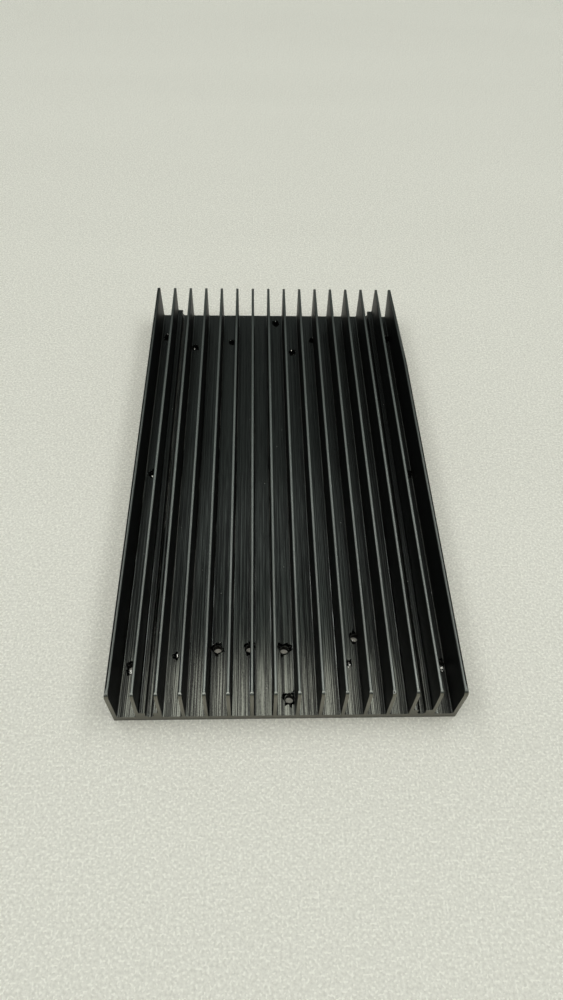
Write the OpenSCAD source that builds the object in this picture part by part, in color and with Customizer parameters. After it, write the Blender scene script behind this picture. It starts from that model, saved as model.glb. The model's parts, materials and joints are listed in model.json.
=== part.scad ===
// Extruded aluminium heat sink: one black anodised length of finned bar, cut
// square at both ends, with tapped holes through its base and two open screw
// ports that run the whole length, one near each side.
// The length runs along Y, the fins point up, and the origin is at the centre
// of the flat underside.

/* [Extrusion] */
// Width of the base plate
width = 100; // [90:0.5:130]
// Length that the bar is cut to
length = 181.8; // [165:0.5:400]
// Overall height, from the underside to the fin tips
height = 17; // [12:0.5:40]
// Thickness of the base plate
base_t = 2.5; // [2:0.1:4]

/* [Fins] */
// Number of fins, with the two outer ones
fin_count = 16; // [14:2:18]
// Thickness of an inner fin
fin_t = 1; // [0.9:0.05:1.2]
// Thickness of an outer fin
outer_fin_t = 1.2; // [1:0.05:1.5]
// How far the tip of each outer fin leans out past the side of the base plate
splay = 0.4; // [0:0.05:0.6]
// Radius on both edges of a fin's tip
tip_r = 0.4; // [0.1:0.05:0.44]
// Radius of the fillet at the foot of a fin
root_r = 0.4; // [0.1:0.05:0.5]
// Radius on the top corners of the fins at the front end
front_r = 1.6; // [0.2:0.1:3]
// Radius on the top corners of the fins at the back end
back_r = 0.5; // [0.2:0.1:3]

/* [Screw ports] */
// Channel that holds a screw port, counted from each side of the bar
port_channel = 2; // [2:1:4]
// Diameter of a port, the core size of the screw that cuts its own thread there
port_d = 2.5; // [2.3:0.1:2.8]
// Width of the slot along the top of a port
port_mouth = 2.2; // [1.2:0.1:2.2]
// Height of the lands on both sides of a port, above the base plate
land_h = 2.8; // [2.4:0.1:4]
// How far a port lies from the middle of its channel, towards the inner fins
port_shift = 0.2; // [0:0.05:0.4]
// Radius on both edges of a port's slot
mouth_r = 0.25; // [0.1:0.05:0.3]

/* [Fixing holes] */
// Diameter of a fixing hole, the core size of an M3 thread
fixing_d = 2.5; // [2:0.1:2.8]
// Distance from the left side of the bar to the left fixing holes
left_inset = 3.9; // [3.2:0.1:4.2]
// Distance from the right side of the bar to the right fixing holes
right_inset = 2.9; // [2.9:0.1:4.2]
// Distance from one fixing hole to the next along the bar
fixing_pitch = 75.6; // [60:0.2:80]
// Number of fixing holes on each side
fixing_rows = 3; // [1:1:3]

/* [Device holes] */
// Diameter of a tapped hole for a device bolted under the base
device_d = 2.6; // [2:0.1:3]
// How far the drill point went past the top of the base into a fin above it
overrun = 0.5; // [0.2:0.1:2]
// Diameter of the drill that stopped as its point broke through the base
short_d = 2.5; // [2:0.1:3]
// Depth of base left above the full diameter of such a stopped hole
short_left = 0.4; // [0.2:0.05:0.5]

/* [Bent fin] */
// How far the tip of the right outer fin leans inwards at its back end
lean = 0.8; // [0.2:0.1:1.5]
// Length over which that fin comes to its lean
lean_length = 46; // [20:1:80]

/* [Hidden] */
$fn = 48;
// How far a cut runs past the face that it goes through
past = 1;
// Thickness of the slices between which the leaning fin is blended
slice = 0.05;
// How far the leaning end and the outer fillets are set into the faces that they start from
hair = 0.01;
// Angle of a drill's point
drill_angle = 118;

last = fin_count - 1;
pitch = (width - fin_t) / last;
tilt = atan(splay / height);
// Height of an outer fin before it is tilted, which keeps its tip below the overall height
outer_height = height - outer_fin_t * sin(tilt);
// Inner face of an outer fin from the side of the base plate, where its fillet ends
inner_face = outer_fin_t / cos(tilt) - (base_t + root_r) * tan(tilt) - hair;

// Device holes near the front end and near the back end, each as its distance
// right of the middle and its distance from that end.
front_devices = [[-20.5, 21.1], [-10.7, 21.3], [-0.1, 20.7], [1, 5], [22, 24.6]];
back_devices = [[-34.3, 21.5], [-18.8, 18.1], [0.1, 5.3], [6.7, 24.2], [15.7, 16.4]];
stopped_holes = [[-32.8, 18.9], [19.7, 16.4]];

// Middle of inner fin i across the bar. The fins are counted from the left, from 0.
function fin_x(i) = (i - last / 2) * pitch;

// Faces that bound channel i at its foot, which lies between fin i and the next.
function channel_left(i) = i == 0 ? inner_face - width / 2 : fin_x(i) + fin_t / 2;
function channel_right(i) = -channel_left(last - 1 - i);

// Rectangle that stands on the x axis, with its top corners rounded.
module rounded_post(w, h, r) {
    translate([-w / 2, 0]) square([w, h - r]);
    translate([r - w / 2, 0]) square([w - 2 * r, h]);
    for (side = [-1, 1])
        translate([side * (w / 2 - r), h - r]) circle(r);
}

// Fillet between a wall on its left and a floor below it.
module fillet(r) {
    difference() {
        translate([-r / 2, -r / 2]) square(1.5 * r);
        translate([r, r]) circle(r);
    }
}

module channel_fillets(i, floor_z) {
    translate([channel_left(i), floor_z]) fillet(root_r);
    translate([channel_right(i), floor_z]) mirror([1, 0]) fillet(root_r);
}

// Land from a fin's face at x = 0 to the edge of the port's slot at x = w.
module land(w) {
    top = base_t + land_h;
    translate([-fin_t / 2, 0]) square([w + fin_t / 2 - mouth_r, top]);
    translate([-fin_t / 2, 0]) square([w + fin_t / 2, top - mouth_r]);
    translate([w - mouth_r, top - mouth_r]) circle(mouth_r);
}

// Channel i filled up to its lands, with a round screw port left open above.
// toward is 1 or -1, the side on which the middle of the bar lies.
module screw_port(i, toward) {
    left = channel_left(i);
    right = channel_right(i);
    x = (left + right) / 2 + toward * port_shift;
    port_z = base_t + port_d / 2;
    difference() {
        union() {
            translate([left, 0]) land(x - port_mouth / 2 - left);
            translate([right, 0]) mirror([1, 0]) land(right - x - port_mouth / 2);
            translate([left, 0]) square([right - left, port_z]);
        }
        translate([x, port_z]) circle(port_d / 2);
    }
    channel_fillets(i, base_t + land_h);
}

// Outer fin on the left in section, leaning by an angle about the lower corner of the
// base plate, and slimmer by skim on each face.
module outer_post(angle, skim = 0) {
    translate([-width / 2, 0]) rotate(angle) translate([outer_fin_t / 2, 0])
        rounded_post(outer_fin_t - 2 * skim, outer_height - skim, tip_r);
}

// Cross-section of the bar, but for the outer fin on the right.
module section() {
    left_port = port_channel - 1;
    right_port = last - port_channel;
    translate([-width / 2, 0]) square([width, base_t]);
    outer_post(tilt);
    for (i = [1 : last - 1])
        translate([fin_x(i), 0]) rounded_post(fin_t, height, tip_r);
    for (i = [0 : last - 1])
        if (i != left_port && i != right_port) channel_fillets(i, base_t);
    screw_port(left_port, 1);
    screw_port(right_port, -1);
}

// Lays a section drawn in x and y along the bar, from y = from to y = to.
module along(from, to) {
    translate([0, to, 0]) rotate([90, 0, 0]) linear_extrude(to - from) children();
}

// Outer fin on the right, which somebody has knocked inwards at its back end.
module bent_fin() {
    bend = length / 2 - lean_length;
    along(-length / 2, bend) mirror([1, 0]) outer_post(tilt);
    hull() {
        along(bend - slice, bend) mirror([1, 0]) outer_post(tilt, hair);
        along(length / 2 - slice, length / 2)
            mirror([1, 0]) outer_post(-atan(lean / height), hair);
    }
}

// Side view of the bar's back half, with the top corner at its end rounded.
module half_view(r) {
    translate([-past, 0]) square([length / 2 - r + past, height]);
    translate([-past, 0]) square([length / 2 + past, height - r]);
    translate([length / 2 - r, height - r]) circle(r);
}

// Everything that lies within the bar's length, with the fins' corners rounded.
module end_form() {
    rotate([90, 0, 90])
        linear_extrude(width + 2 * past, center = true) {
            half_view(back_r);
            mirror([1, 0]) half_view(front_r);
        }
}

// Hole drilled right through the base from below, at x and y.
module through_hole(x, y, d) {
    translate([x, y, -past]) cylinder(d = d, h = base_t + overrun + past);
}

// Hole from below whose drill stopped as its point broke through the base.
module stopped_hole(x, y) {
    full = base_t - short_left;
    point = short_d / 2 / tan(drill_angle / 2);
    translate([x, y, -past]) cylinder(d = short_d, h = full + past);
    translate([x, y, full]) cylinder(d1 = short_d, d2 = 0, h = point);
}

module fixing_holes() {
    for (row = [0 : fixing_rows - 1]) {
        y = (row - (fixing_rows - 1) / 2) * fixing_pitch;
        through_hole(left_inset - width / 2, y, fixing_d);
        through_hole(width / 2 - right_inset, y, fixing_d);
    }
}

module device_holes() {
    for (p = front_devices) through_hole(p[0], p[1] - length / 2, device_d);
    for (p = back_devices) through_hole(p[0], length / 2 - p[1], device_d);
    for (p = stopped_holes) stopped_hole(p[0], p[1] - length / 2);
}

module heat_sink() {
    color("#1d1e1e")
        difference() {
            intersection() {
                union() {
                    along(-length / 2, length / 2) section();
                    bent_fin();
                }
                end_form();
            }
            fixing_holes();
            device_holes();
        }
}

heat_sink();
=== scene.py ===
import json
import math

import bmesh
import bpy
from mathutils import Matrix, Vector


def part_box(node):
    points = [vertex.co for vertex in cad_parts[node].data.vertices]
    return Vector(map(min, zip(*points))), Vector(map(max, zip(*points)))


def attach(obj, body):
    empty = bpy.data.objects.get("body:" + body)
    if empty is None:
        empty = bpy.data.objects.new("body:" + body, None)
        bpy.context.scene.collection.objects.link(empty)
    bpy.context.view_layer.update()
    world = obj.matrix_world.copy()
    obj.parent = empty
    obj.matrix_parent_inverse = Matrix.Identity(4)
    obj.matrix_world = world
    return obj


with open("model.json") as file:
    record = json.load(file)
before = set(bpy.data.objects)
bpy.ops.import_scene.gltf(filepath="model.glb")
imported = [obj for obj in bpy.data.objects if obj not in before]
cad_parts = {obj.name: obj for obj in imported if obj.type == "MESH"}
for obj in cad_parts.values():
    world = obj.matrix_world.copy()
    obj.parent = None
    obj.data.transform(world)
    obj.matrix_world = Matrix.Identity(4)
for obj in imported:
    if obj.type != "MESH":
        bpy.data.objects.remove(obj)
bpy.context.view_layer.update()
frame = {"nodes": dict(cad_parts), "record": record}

scene = bpy.context.scene


# ---------------------------------------------------------------- the bar
# One length of extruded aluminium, cut off square, drilled and then black
# anodised. The die left fine lines all along it, which carry a painted sheen
# that fades towards the back. The fin tips are grey, partly rubbed by handling
# and partly a painted highlight. The sawn face at each end is duller, and
# painted a brownish grey that stands in for its reflection of the pale floor.
# Painted shade darkens the bores, the sawn faces' lower edge and the outer
# fins' outside tip edges, and a painted highlight lines each fin's foot.

class Wire:
    """One output of a node. Arithmetic on it adds Math nodes to its board."""

    def __init__(self, board, socket):
        self.board = board
        self.socket = socket

    def math(self, operation, *operands):
        values = dict(enumerate(operands or (self,)))
        return self.board.node("ShaderNodeMath", {"operation": operation}, values)

    def __add__(self, other):
        return self.math("ADD", self, other)

    def __sub__(self, other):
        return self.math("SUBTRACT", self, other)

    def __rsub__(self, other):
        return self.math("SUBTRACT", other, self)

    def __mul__(self, other):
        return self.math("MULTIPLY", self, other)

    def __truediv__(self, other):
        return self.math("DIVIDE", self, other)

    def __pow__(self, other):
        return self.math("POWER", self, other)

    __radd__ = __add__
    __rmul__ = __mul__

    def size(self):
        return self.math("ABSOLUTE", self)

    def at_least(self, low):
        return self.math("MAXIMUM", self, low)

    def cosine(self):
        return self.math("COSINE", self)

    def sine(self):
        return self.math("SINE", self)

    def between(self, low, high):
        """0 below low, 1 above high, and a smooth step from one to the other."""
        return self.board.node(
            "ShaderNodeMapRange",
            {"interpolation_type": "SMOOTHSTEP"},
            {"Value": self, "From Min": low, "From Max": high},
        )

    def axes(self):
        """The three parts of a vector."""
        parts = self.board.node("ShaderNodeSeparateXYZ", values={0: self})
        outputs = parts.socket.node.outputs
        return [Wire(self.board, outputs[axis]) for axis in "XYZ"]


class Board:
    """A node tree, built up one node at a time."""

    def __init__(self, tree):
        self.nodes = tree.nodes
        self.links = tree.links

    def plug(self, socket, value):
        if isinstance(value, Wire):
            self.links.new(value.socket, socket)
        else:
            socket.default_value = value

    def node(self, kind, settings=None, values=None, out=0):
        made = self.nodes.new(kind)
        for name, value in (settings or {}).items():
            setattr(made, name, value)
        for name, value in (values or {}).items():
            self.plug(made.inputs[name], value)
        return Wire(self, made.outputs[out])

    def noise(self, place, scale, detail=2.0, rough=0.5, flat=False):
        return self.node(
            "ShaderNodeTexNoise",
            {"noise_dimensions": "2D" if flat else "3D"},
            {"Vector": place, "Scale": scale, "Detail": detail, "Roughness": rough},
        )

    def vector(self, *parts):
        values = dict(enumerate(parts))
        return self.node("ShaderNodeCombineXYZ", values=values)


class Finish(Board):
    """A material with a Principled shader."""

    def __init__(self, name):
        self.material = bpy.data.materials.new(name)
        self.material.use_nodes = True
        super().__init__(self.material.node_tree)
        self.shader = self.nodes["Principled BSDF"]

    def blend(self, factor, first, second):
        """Colour that goes from first to second as factor goes from 0 to 1."""
        values = {"Factor": factor, 6: first, 7: second}
        return self.node("ShaderNodeMix", {"data_type": "RGBA"}, values, out=2)

    def surface(self, **values):
        """Plug the shader's inputs, with _ for each space in their names."""
        for name, value in values.items():
            self.plug(self.shader.inputs[name.replace("_", " ")], value)
        return self.material


# Height of the base plate's upper face, from which the fins rise.
base_top = 0.0025


def anodised_finish(bar_low, bar_high):
    """The dyed skin, with the marks of the die, the saw, the drill and wear."""
    front, back = bar_low[1], bar_high[1]
    fin_top = bar_high[2]
    dye = (0.004, 0.0047, 0.0044, 1)
    # Grey for the rubbed tips and the die lines: partly wear, partly painted sheen and
    # highlight.
    rubbed_and_sheen_grey = (0.375, 0.39, 0.365, 1)
    # The sawn faces' brownish grey is a painted reflection of the pale floor.
    sawn_floor_reflection = (0.185, 0.172, 0.133, 1)
    dust = (0.4, 0.4, 0.38, 1)
    # Painted highlight for the fins' feet.
    foot_highlight_grey = (0.5, 0.51, 0.48, 1)

    skin = Finish("black anodised aluminium")
    place = skin.node("ShaderNodeTexCoord", out="Object")
    x, y, z = place.axes()
    facing = skin.node("ShaderNodeNewGeometry", out="Normal")
    facing_x, facing_y, _ = facing.axes()
    sideways = facing_x.size()
    from_side = bar_high[0] - x.size()
    to_front = 1 - y.between(front, back)

    # Each of these is 1 on one kind of surface and 0 on the others: the sawn
    # ends, the walls of the fins, their tips, the bores, and the outer fins
    # with their outside edges.
    end_depth = 0.0022
    near_end = y.size().between(back - end_depth, back - 0.7 * end_depth)
    end_on = facing_y.size().between(0.6, 0.85)
    sawn = end_on * near_end
    wall = sideways.between(0.8, 0.95)
    tip_depth = 0.0007
    tip = z.between(fin_top - tip_depth, fin_top - 0.3 * tip_depth)
    within_sides = from_side.between(0.001, 0.0014)
    above_underside = z.between(0.00005, 0.0002)
    below_top = 1 - z.between(0.85 * base_top, 0.95 * base_top)
    bore_shade = within_sides * above_underside * below_top * (1 - sawn)
    outer_fin = 0.0018
    outer = 1 - from_side.between(0.9 * outer_fin, outer_fin)
    # Painted shade: a dark line along the outer fins' outside tip edges, which keep no
    # rubbed grey.
    outer_edge = 0.0006
    outside_edge_shade = 1 - from_side.between(0.75 * outer_edge, outer_edge)
    outside_edge_shade = outside_edge_shade * y.between(front + 0.0015, front + 0.003)

    # How far the tips are painted grey, partly rubbed wear and partly a painted
    # highlight that follows how the light falls along the bar: the share at the
    # front end, then every stretch along the bar over which it grows or shrinks,
    # and by how much.
    wear_and_highlight = 0.6
    for stretch_start, stretch_end, change in (
        (-0.088, -0.076, -0.14),
        (-0.07, -0.005, 0.45),
        (0.0, 0.06, -0.22),
        (0.058, 0.075, -0.22),
    ):
        wear_and_highlight = wear_and_highlight + change * y.between(stretch_start, stretch_end)
    wear_and_highlight = wear_and_highlight * (1 - 0.35 * outer) * (1 - outside_edge_shade)

    # The die's lines run the length of the bar, and shorter dashes lie between
    # them. Where they are strong they are painted lighter, a painted sheen that
    # stands in for the lines' reflections. It is brightest at the front end and
    # fades towards the back.
    line_width = 0.00022
    line_length = 0.12
    dash_length = 0.012
    line_depth = 0.00003
    faint, strong = 0.41, 0.61
    sheen_at_front = 0.5
    sheen_left_at_back = 0.38
    across = (x + z) * (1 / line_width)
    along = skin.vector(across, y * (1 / line_length))
    dashed = skin.vector(across * 0.9, y * (1 / dash_length))
    lines = skin.noise(along, 1.0, 1.0, 0.5, flat=True)
    dashes = skin.noise(dashed, 1.0, 1.0, 0.5, flat=True)
    grain = skin.noise(place, 2500.0, 2.0, 0.7)
    streaks = 0.66 * lines + 0.34 * dashes
    drawn = (streaks + 0.2 * (grain - 0.5)).between(faint, strong)
    scored = 1 - lines.between(0.3, 0.38)
    # Painted sheen: lightest at the front end, fainter towards the back.
    sheen_fade = sheen_left_at_back + (1 - sheen_left_at_back) * to_front
    streak_sheen = (0.01 + sheen_at_front * drawn) * sheen_fade
    # Painted sheen off the tips, and on the tips their grey of real wear and painted
    # highlight.
    bare = streak_sheen * (1 - tip) + tip * wear_and_highlight
    bare = (1 - sawn) * (1 - wall) * (1 - bore_shade) * bare

    # A painted highlight: a light line along each fin's foot, on the curve just
    # above the base, stronger towards the front end.
    foot_start = 0.00004
    foot_end = 0.0005
    foot_highlight = sideways.between(0.12, 0.3) - sideways.between(0.75, 0.9)
    foot_highlight = foot_highlight * z.between(base_top, base_top + foot_start) * (0.2 + 0.8 * to_front)
    above_foot = z.between(base_top + 0.6 * foot_end, base_top + foot_end)
    foot_highlight = (foot_highlight - foot_highlight * above_foot).at_least(0)

    # The sawn faces are darkest along the underside, as painted shade, and
    # palest up the fins, with grain over it.
    sawn_grain_and_shade = 0.4 + 0.25 * z.between(0.0002, 0.0014) + 0.3 * z.between(0.001, 0.011)
    sawn_grain_and_shade = sawn * (sawn_grain_and_shade + 0.4 * (grain - 0.5))

    # One knock on a fin's front corner, with a bright lip, and specks of dust.
    knock = (0.0295, front + 0.0007, fin_top - 0.0001)
    dent_edge = (0.00022, 0.0003)
    lip_edge = (0.0005, 0.00065)
    speck_edge = (0.022, 0.036)
    specks_per_metre = 170.0
    from_knock = skin.node(
        "ShaderNodeVectorMath", {"operation": "DISTANCE"}, {0: place, 1: knock}, "Value"
    )
    dent = 1 - from_knock.between(*dent_edge)
    dent_lip = (1 - from_knock.between(*lip_edge)) * (1 - dent)
    from_speck = skin.node(
        "ShaderNodeTexVoronoi", values={"Vector": place, "Scale": specks_per_metre}
    )
    specks = (1 - from_speck.between(*speck_edge)).at_least(dent_lip)

    # The colour carries painted light and shade: sheen, highlights, and the sawn faces'
    # painted reflection and shade.
    colour = skin.blend(bare, dye, rubbed_and_sheen_grey)
    colour = skin.blend(0.6 * foot_highlight, colour, foot_highlight_grey)
    colour = skin.blend(sawn_grain_and_shade, colour, sawn_floor_reflection)
    colour = skin.blend(specks, colour, dust)
    colour = skin.blend(dent, colour, dye)
    # Painted shade: the bores and the outer fins' outside tip edges are made a dark
    # metal that reflects almost nothing.
    metal = bare.between(0.0, 0.25) + bore_shade + 0.35 * wall + 0.9 * outside_edge_shade * tip
    roughness = (
        0.09 + 0.07 * dashes + 0.2 * tip + 0.35 * sawn + 0.38 * wall + 0.45 * bore_shade
    )
    relief = (1 - sawn) * (streaks - 0.3 * scored) + 0.5 * sawn * grain
    bump = skin.node(
        "ShaderNodeBump",
        values={"Strength": 1.0, "Distance": line_depth, "Height": relief},
    )
    return skin.surface(
        Base_Color=colour,
        Metallic=metal * (1 - specks),
        Roughness=roughness,
        Normal=bump,
        IOR=1.53,
    )


bar = frame["nodes"]["heat_sink"]
bar_low, bar_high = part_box("heat_sink")
for slot in bar.material_slots:
    slot.material = anodised_finish(bar_low, bar_high)


# ------------------------------------------------------- the torn hole rims
# The drill pushed up a thin collar of metal where it broke through the base.
# Each collar is torn into uneven petals that curl outwards, and is coloured
# a black metal that reflects almost nothing, as painted shade, with a few
# lighter flecks as painted glints. They are part of the bar, and were never
# filed off.

class Recipe(Board):
    """A Geometry Nodes tree with named inputs."""

    def __init__(self, name):
        self.tree = bpy.data.node_groups.new(name, "GeometryNodeTree")
        super().__init__(self.tree)
        self.sockets = {}
        self.takes("Geometry", "NodeSocketGeometry")
        self.tree.interface.new_socket(
            "Geometry", in_out="OUTPUT", socket_type="NodeSocketGeometry"
        )
        self.entry = self.nodes.new("NodeGroupInput")
        self.exit = self.nodes.new("NodeGroupOutput")

    def takes(self, name, kind):
        """Add a named input to the tree."""
        made = self.tree.interface.new_socket(name, in_out="INPUT", socket_type=kind)
        self.sockets[name] = made.identifier

    def given(self, name):
        return Wire(self, self.entry.outputs[name])

    def stored(self, name, kind="FLOAT"):
        return self.node(
            "GeometryNodeInputNamedAttribute", {"data_type": kind}, {"Name": name}
        )

    def apply(self, piece, values):
        """Run the tree on a piece and keep what it makes as a smooth, plain mesh."""
        modifier = piece.modifiers.new("recipe", "NODES")
        modifier.node_group = self.tree
        for name, value in values.items():
            modifier[self.sockets[name]] = value
        graph = bpy.context.evaluated_depsgraph_get()
        made = bpy.data.meshes.new_from_object(piece.evaluated_get(graph))
        piece.modifiers.remove(modifier)
        piece.data = made
        shape = bmesh.new()
        shape.from_mesh(made)
        bmesh.ops.recalc_face_normals(shape, faces=shape.faces)
        shape.to_mesh(made)
        shape.free()
        for polygon in made.polygons:
            polygon.use_smooth = True


def torn_finish():
    # Painted shade and glints: a near-black metal with a few lighter flecks.
    black = (0.006, 0.006, 0.006, 1)
    glint = (0.6, 0.6, 0.57, 1)
    torn = Finish("torn anodised edge")
    place = torn.node("ShaderNodeTexCoord", out="Object")
    glints = torn.noise(place, 1700.0, 1.0, 0.5).between(0.62, 0.67)
    bump = torn.node(
        "ShaderNodeBump",
        values={"Distance": 0.00004, "Height": torn.noise(place, 2600.0, 3.0, 0.6)},
    )
    return torn.surface(
        Base_Color=torn.blend(glints, black, glint),
        Metallic=1.0,
        Roughness=0.5 - 0.2 * glints,
        Normal=bump,
    )


most_petals = 7
rim = Recipe("torn rims")
for name, kind in (
    ("Steps round", "NodeSocketInt"),
    ("Steps up", "NodeSocketInt"),
    ("Thickness", "NodeSocketFloat"),
    ("Rooted", "NodeSocketFloat"),
    ("Material", "NodeSocketMaterial"),
):
    rim.takes(name, kind)

collar = rim.node(
    "GeometryNodeMeshGrid",
    values={
        "Size X": 1.0,
        "Size Y": 1.0,
        "Vertices X": rim.given("Steps round"),
        "Vertices Y": rim.given("Steps up"),
    },
)
flat = rim.node("GeometryNodeInputPosition")
collar = rim.node(
    "GeometryNodeStoreNamedAttribute",
    {"data_type": "FLOAT_VECTOR", "domain": "POINT"},
    {"Geometry": collar, "Name": "flat", "Value": flat},
)
collars = rim.node(
    "GeometryNodeInstanceOnPoints",
    values={"Points": rim.given("Geometry"), "Instance": collar},
)
collars = rim.node("GeometryNodeRealizeInstances", values={"Geometry": collars})

# A collar starts as a flat sheet: u goes once round the hole, and v goes up
# the inside of the collar, over its torn edge, and down the outside. A slow
# swell and sharp notches shape the edge, and each petal tapers to both sides.
u, v, _ = rim.stored("flat", "FLOAT_VECTOR").axes()
turn_round = (u + 0.5) * (2 * math.pi)
turn_over = (v + 0.5) * (2 * math.pi)
rise = 0.5 - 0.5 * turn_over.cosine()
side = turn_over.sine()
ahead = turn_round.cosine()
right = turn_round.sine()
ring = rim.vector(ahead, right, rim.stored("seed") * 7.3)
swell = rim.noise(ring, 1.3, 1.0)
jagged = rim.noise(ring, 4.6, 3.0, 0.7)
notched = jagged.between(0.36, 0.66)
petals = 0
for number in range(1, most_petals + 1):
    away = (turn_round - rim.stored(f"way_{number}")).cosine().math("ARCCOSINE")
    away = away + 0.25 * (jagged - 0.5)
    taper = (1 - away / rim.stored(f"spread_{number}")).at_least(0)
    petals = petals + rim.stored(f"reach_{number}") * taper
tall = rim.stored("stand") * (0.15 + 0.6 * swell + 0.5 * notched) + 0.55 * petals
out = rim.stored("curl") * (0.3 + 1.2 * swell) + petals
thick = rim.given("Thickness") * (1 - 0.7 * rise)
reach = rim.stored("bore") + (rise ** 1.7) * out + 0.5 * side * thick
lift = rise * tall - (1 - rise) * rim.given("Rooted")
collars = rim.node(
    "GeometryNodeSetPosition",
    values={
        "Geometry": collars,
        "Offset": rim.vector(ahead * reach - u, right * reach - v, lift),
    },
)
seam_weld = 0.000001
collars = rim.node(
    "GeometryNodeMergeByDistance", values={"Geometry": collars, "Distance": seam_weld}
)
collars = rim.node(
    "GeometryNodeSetMaterial",
    values={"Geometry": collars, "Material": rim.given("Material")},
)
rim.plug(rim.exit.inputs["Geometry"], collars)


def fixing_centres():
    """Centres of the tapped holes in the record's bolt patterns."""
    for mount in frame["record"]["mounts"]:
        if mount["kind"] != "bolt_pattern":
            continue
        middle_x, middle_y, _ = mount["pos_m"]
        half_x = mount["dims"]["spacing_x_mm"] / 2000
        half_y = mount["dims"].get("spacing_y_mm", 0) / 2000
        for way_x in (-1, 1):
            for way_y in sorted({-half_y, half_y}):
                yield middle_x + way_x * half_x, middle_y + way_y


# Each hole's centre in m and its radius in mm: the front device holes, 0 to 4,
# the back ones, 5 to 9, the six fixing holes, and two holes near the front end
# whose drill stopped just as it broke through.
device_bore = 1.3
fixing_bore = 1.25
stopped_bore = 0.45
hole_list = []
for mount in frame["record"]["mounts"]:
    if "device_hole" in mount["name"]:
        hole_list.append((mount["pos_m"][0], mount["pos_m"][1], device_bore))
fixings = range(len(hole_list), len(hole_list) + 6)
front_left, _, front_right, _, middle_left, middle_right = fixings
for centre_x, centre_y in fixing_centres():
    hole_list.append((centre_x, centre_y, fixing_bore))
stopped_left = len(hole_list)
stopped_right = stopped_left + 1
for from_middle, from_front in ((-0.0328, 0.0189), (0.0197, 0.0164)):
    hole_list.append((from_middle, bar_low[1] + from_front, stopped_bore))

# How each collar tore: its height and curl in mm, then its petals, each with
# the way it points, in degrees from the right, its reach in mm and its spread
# in degrees. Holes that aren't named here have a plain tear.
tears = {
    0: (0.75, 0.2, (100, 0.3, 90), (168, 0.7, 34), (60, 0.7, 20), (-8, 0.8, 20),
        (263, 0.8, 24)),
    1: (0.75, 0.25, (150, 0.5, 34), (95, 0.5, 34), (45, 0.7, 30), (250, 0.7, 30),
        (0, 0.4, 30)),
    2: (0.7, 0.2, (136, 1.3, 32), (60, 0.7, 50), (15, 1.1, 36), (247, 0.9, 22)),
    3: (0.7, 0.2, (160, 0.9, 30), (55, 1.3, 18), (8, 0.6, 20), (-45, 0.7, 16),
        (283, 1.1, 20), (235, 0.8, 20), (134, 0.6, 22)),
    4: (0.75, 0.25, (98, 1.0, 18), (135, 0.5, 40), (40, 0.7, 40), (255, 0.5, 30),
        (320, 0.5, 30)),
    5: (0.4, 0.15, (200, 0.3, 30), (80, 0.3, 30), (330, 0.3, 26)),
    6: (0.35, 0.15, (60, 0.3, 30), (140, 0.2, 26)),
    7: (0.45, 0.15, (150, 0.5, 30), (70, 0.4, 26), (280, 0.4, 36)),
    8: (0.4, 0.2, (110, 0.4, 30), (40, 0.4, 24), (250, 0.3, 30)),
    9: (0.35, 0.15, (100, 0.3, 30), (200, 0.3, 26)),
    front_left: (0.7, 0.25, (100, 0.4, 60), (150, 0.4, 30), (240, 1.0, 34),
        (20, 0.4, 24)),
    front_right: (0.7, 0.25, (60, 0.6, 40), (120, 0.5, 26), (283, 1.0, 30),
        (200, 0.3, 30)),
    middle_left: (0.6, 0.25, (80, 0.6, 34), (300, 0.6, 30), (180, 0.4, 30)),
    stopped_left: (0.5, 0.2, (180, 0.9, 60), (95, 0.7, 44), (262, 0.8, 40)),
    stopped_right: (0.4, 0.1, (150, 0.7, 36), (228, 0.9, 26), (300, 0.9, 26),
        (55, 0.6, 30)),
}
plain_tear = (0.7, 0.25, (110, 0.5, 40), (200, 0.5, 30), (320, 0.4, 30), (30, 0.4, 26))
no_petal = (0, 0, 20)
clear_of_bore = 0.02

rim_mesh = bpy.data.meshes.new("torn_rims")
rim_mesh.from_pydata([(cx, cy, base_top) for cx, cy, _ in hole_list], [], [])
columns = {"bore": [], "stand": [], "curl": [], "seed": []}
for index, (_, _, bore) in enumerate(hole_list):
    stand, curl, *tips = tears.get(index, plain_tear)
    columns["bore"].append((bore + clear_of_bore) / 1000)
    columns["stand"].append(stand / 1000)
    columns["curl"].append(curl / 1000)
    columns["seed"].append(index + 1.0)
    for number in range(1, most_petals + 1):
        way, reach, spread = tips[number - 1] if number <= len(tips) else no_petal
        columns.setdefault(f"way_{number}", []).append(math.radians(way))
        columns.setdefault(f"reach_{number}", []).append(reach / 1000)
        columns.setdefault(f"spread_{number}", []).append(math.radians(spread))
for name, numbers in columns.items():
    rim_mesh.attributes.new(name, "FLOAT", "POINT").data.foreach_set("value", numbers)
torn_rims = bpy.data.objects.new("torn_rims", rim_mesh)
scene.collection.objects.link(torn_rims)
rim.apply(
    torn_rims,
    {
        "Steps round": 145,
        "Steps up": 11,
        "Thickness": 0.00016,
        "Rooted": 0.0003,
        "Material": torn_finish(),
    },
)
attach(torn_rims, "root")


# ---------------------------------------------------------- bare burr flakes
# Small flakes of bright bare aluminium that hang at some of the holes, tilted
# a little towards the front end. They are scraps of the bar itself, scraped up
# by a tap or a screw after the anodising, so no dye reached them.

def bare_finish():
    bright = (0.8, 0.8, 0.77, 1)
    bare = Finish("bare aluminium")
    place = bare.node("ShaderNodeTexCoord", out="Object")
    ragged = bare.noise(place, 3000.0, 2.0, 0.6)
    bump = bare.node("ShaderNodeBump", values={"Distance": 0.00003, "Height": ragged})
    return bare.surface(Base_Color=bright, Metallic=1.0, Roughness=0.45, Normal=bump)


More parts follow.
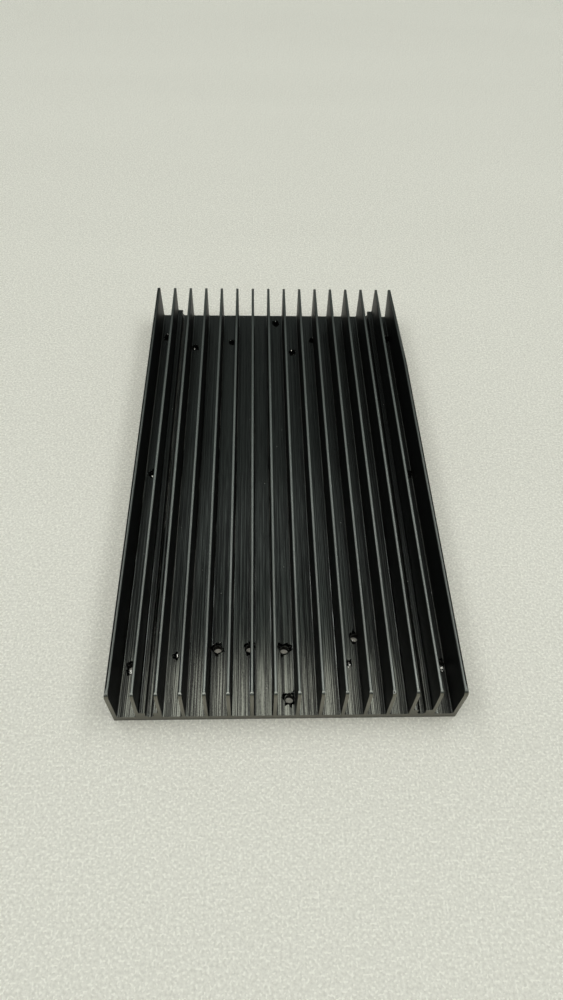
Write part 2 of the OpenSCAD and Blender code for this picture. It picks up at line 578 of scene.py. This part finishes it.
flake = Recipe("burr flakes")
flake.takes("Corners", "NodeSocketInt")
flake.takes("Tilt", "NodeSocketFloat")
flake.takes("Material", "NodeSocketMaterial")
chip = flake.node(
    "GeometryNodeMeshCylinder",
    values={"Vertices": flake.given("Corners"), "Radius": 0.5, "Depth": 1.0},
)
chips = flake.node(
    "GeometryNodeInstanceOnPoints",
    values={
        "Points": flake.given("Geometry"),
        "Instance": chip,
        "Rotation": flake.vector(flake.given("Tilt"), 0.0, 0.0),
        "Scale": flake.stored("spans", "FLOAT_VECTOR"),
    },
)
chips = flake.node("GeometryNodeRealizeInstances", values={"Geometry": chips})
chips = flake.node(
    "GeometryNodeSetMaterial",
    values={"Geometry": chips, "Material": flake.given("Material")},
)
flake.plug(flake.exit.inputs["Geometry"], chips)

# Each flake's hole, as counted above, then in mm its place from the hole's
# centre, aside and along, its width and its length.
flake_list = (
    (4, -0.75, -0.95, 0.5, 0.5),
    (5, -0.2, -1.1, 0.5, 0.6),
    (7, -0.1, 1.3, 0.3, 0.3),
    (8, -0.3, 1.1, 0.4, 0.5),
    (front_left, -0.1, -1.5, 0.8, 1.4),
    (front_right, 0.6, -1.55, 1.0, 1.7),
    (middle_left, -0.15, -1.2, 0.6, 0.7),
    (middle_right, -0.1, -1.1, 0.5, 0.6),
    (stopped_left, 0.15, 0.1, 0.35, 1.1),
    (stopped_right, 0.0, -0.8, 0.5, 0.5),
    (stopped_right, -0.4, -1.6, 0.4, 0.4),
)
flake_corners = 5
flake_thickness = 0.1
flake_lift = 0.04
flake_tilt = math.radians(27)
places, spans = [], []
for hole, aside, along, width, length in flake_list:
    centre_x, centre_y, _ = hole_list[hole]
    height = 0.45 * length * math.sin(flake_tilt) + flake_lift
    places.append(
        (centre_x + aside / 1000, centre_y + along / 1000, base_top + height / 1000)
    )
    spans += [width / 1000, length / 1000, flake_thickness / 1000]
flake_mesh = bpy.data.meshes.new("burr_flakes")
flake_mesh.from_pydata(places, [], [])
flake_mesh.attributes.new("spans", "FLOAT_VECTOR", "POINT").data.foreach_set(
    "vector", spans
)
burr_flakes = bpy.data.objects.new("burr_flakes", flake_mesh)
scene.collection.objects.link(burr_flakes)
flake.apply(
    burr_flakes,
    {"Corners": flake_corners, "Tilt": flake_tilt, "Material": bare_finish()},
)
for polygon in burr_flakes.data.polygons:
    polygon.use_smooth = False
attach(burr_flakes, "root")


# ------------------------------------------------------- camera and studio
# A plain sheet of pale foam for a floor, two wide soft boxes on the ceiling,
# others behind, in front and on both sides, and a dim even surround. The camera
# stands in front of the bar and looks down along the fins.

camera_place = Vector((-0.008866, -0.169795, 0.20769))
camera_pitch = math.radians(-52.39)
camera_roll = math.radians(-2.607)
camera_yaw = math.radians(-3.362)
turn = (
    Matrix.Rotation(camera_yaw, 4, "Z")
    @ Matrix.Rotation(camera_pitch, 4, "X")
    @ Matrix.Rotation(camera_roll, 4, "Y")
)
level = Matrix.Rotation(math.radians(90), 4, "X")
camera_data = bpy.data.cameras.new("camera")
camera_data.lens = 26.14
camera_data.sensor_width = 36
camera_data.clip_start = 0.01
camera = bpy.data.objects.new("camera", camera_data)
camera.matrix_world = Matrix.Translation(camera_place) @ turn @ level
scene.collection.objects.link(camera)
scene.camera = camera


def foam_finish():
    # The cells' hollows and crests are painted darker and lighter, as painted shade and
    # light.
    hollow_shade = (0.64, 0.61, 0.55, 1)
    crest_light = (1.0, 0.97, 0.89, 1)
    cells_per_metre = 1300.0
    pearls_per_metre = 1500.0
    cell_depth = 0.0002
    foam = Finish("pale foam sheet")
    place = foam.node("ShaderNodeTexCoord", out="Object")
    x, y, _ = place.axes()
    cells = foam.noise(place, cells_per_metre, 1.0, 0.5)
    pearl_sparkles = foam.noise(place, pearls_per_metre, 0.0, 0.5).between(0.6, 0.72)
    wrinkle_shading = foam.noise(foam.vector(x * 0.35, y * 2.2), 6.0, 2.0, 0.5)
    # Painted light and shade: darker hollows and lighter crests over the cells stand
    # for the shading of the foam's relief, broad bands for the shading of its wrinkles,
    # and light pearls for its sparkles.
    relief_light_and_shade = (cells - 0.5) * 1.2 + (wrinkle_shading - 0.5) * 0.2 + 0.56 + 0.6 * pearl_sparkles
    bump = foam.node(
        "ShaderNodeBump",
        values={"Strength": 0.5, "Distance": cell_depth, "Height": cells},
    )
    return foam.surface(
        Base_Color=foam.blend(relief_light_and_shade, hollow_shade, crest_light),
        Roughness=0.6,
        Normal=bump,
    )


floor_size = 3.0
floor_mesh = bpy.data.meshes.new("floor")
shape = bmesh.new()
bmesh.ops.create_grid(shape, x_segments=1, y_segments=1, size=floor_size / 2)
shape.to_mesh(floor_mesh)
shape.free()
floor = bpy.data.objects.new("floor", floor_mesh)
floor.data.materials.append(foam_finish())
scene.collection.objects.link(floor)


lamp_distance = 3.0


def soft_box(name, azimuth, elevation, width, depth, radiance, colour):
    """A flat lamp that faces the bar. Its azimuth, 0 from behind the bar, and its
    elevation are in degrees."""
    data = bpy.data.lights.new(name, "AREA")
    data.shape = "RECTANGLE"
    data.size = width
    data.size_y = depth
    data.energy = radiance * math.pi * width * depth
    data.color = colour
    lamp = bpy.data.objects.new(name, data)
    lamp.matrix_world = (
        Matrix.Rotation(math.radians(-azimuth), 4, "Z")
        @ Matrix.Rotation(math.radians(elevation - 90), 4, "X")
        @ Matrix.Translation((0, 0, lamp_distance))
    )
    scene.collection.objects.link(lamp)


soft_box("ceiling_back", 0, 74.8, 1.6, 0.85, 1.6, (1.0, 0.98, 0.86))
soft_box("ceiling_front", 180, 71, 1.6, 1.15, 2.3, (1.0, 0.98, 0.9))
soft_box("back_box", 0, 55, 1.2, 0.4, 0.15, (0.95, 1.0, 0.98))
soft_box("left_box", -76, 60, 3.0, 0.8, 2.75, (0.97, 1.0, 0.99))
soft_box("right_box", 76, 60, 3.0, 0.8, 2.75, (0.97, 1.0, 0.99))
soft_box("front_box", 180, 62, 0.8, 0.4, 5.5, (1.0, 0.99, 0.93))

scene.world = bpy.data.worlds.new("surround")
scene.world.use_nodes = True
surround = scene.world.node_tree.nodes["Background"]
surround.inputs["Color"].default_value = (0.86, 1.0, 0.95, 1)
surround.inputs["Strength"].default_value = 0.2
scene.view_settings.view_transform = "Standard"
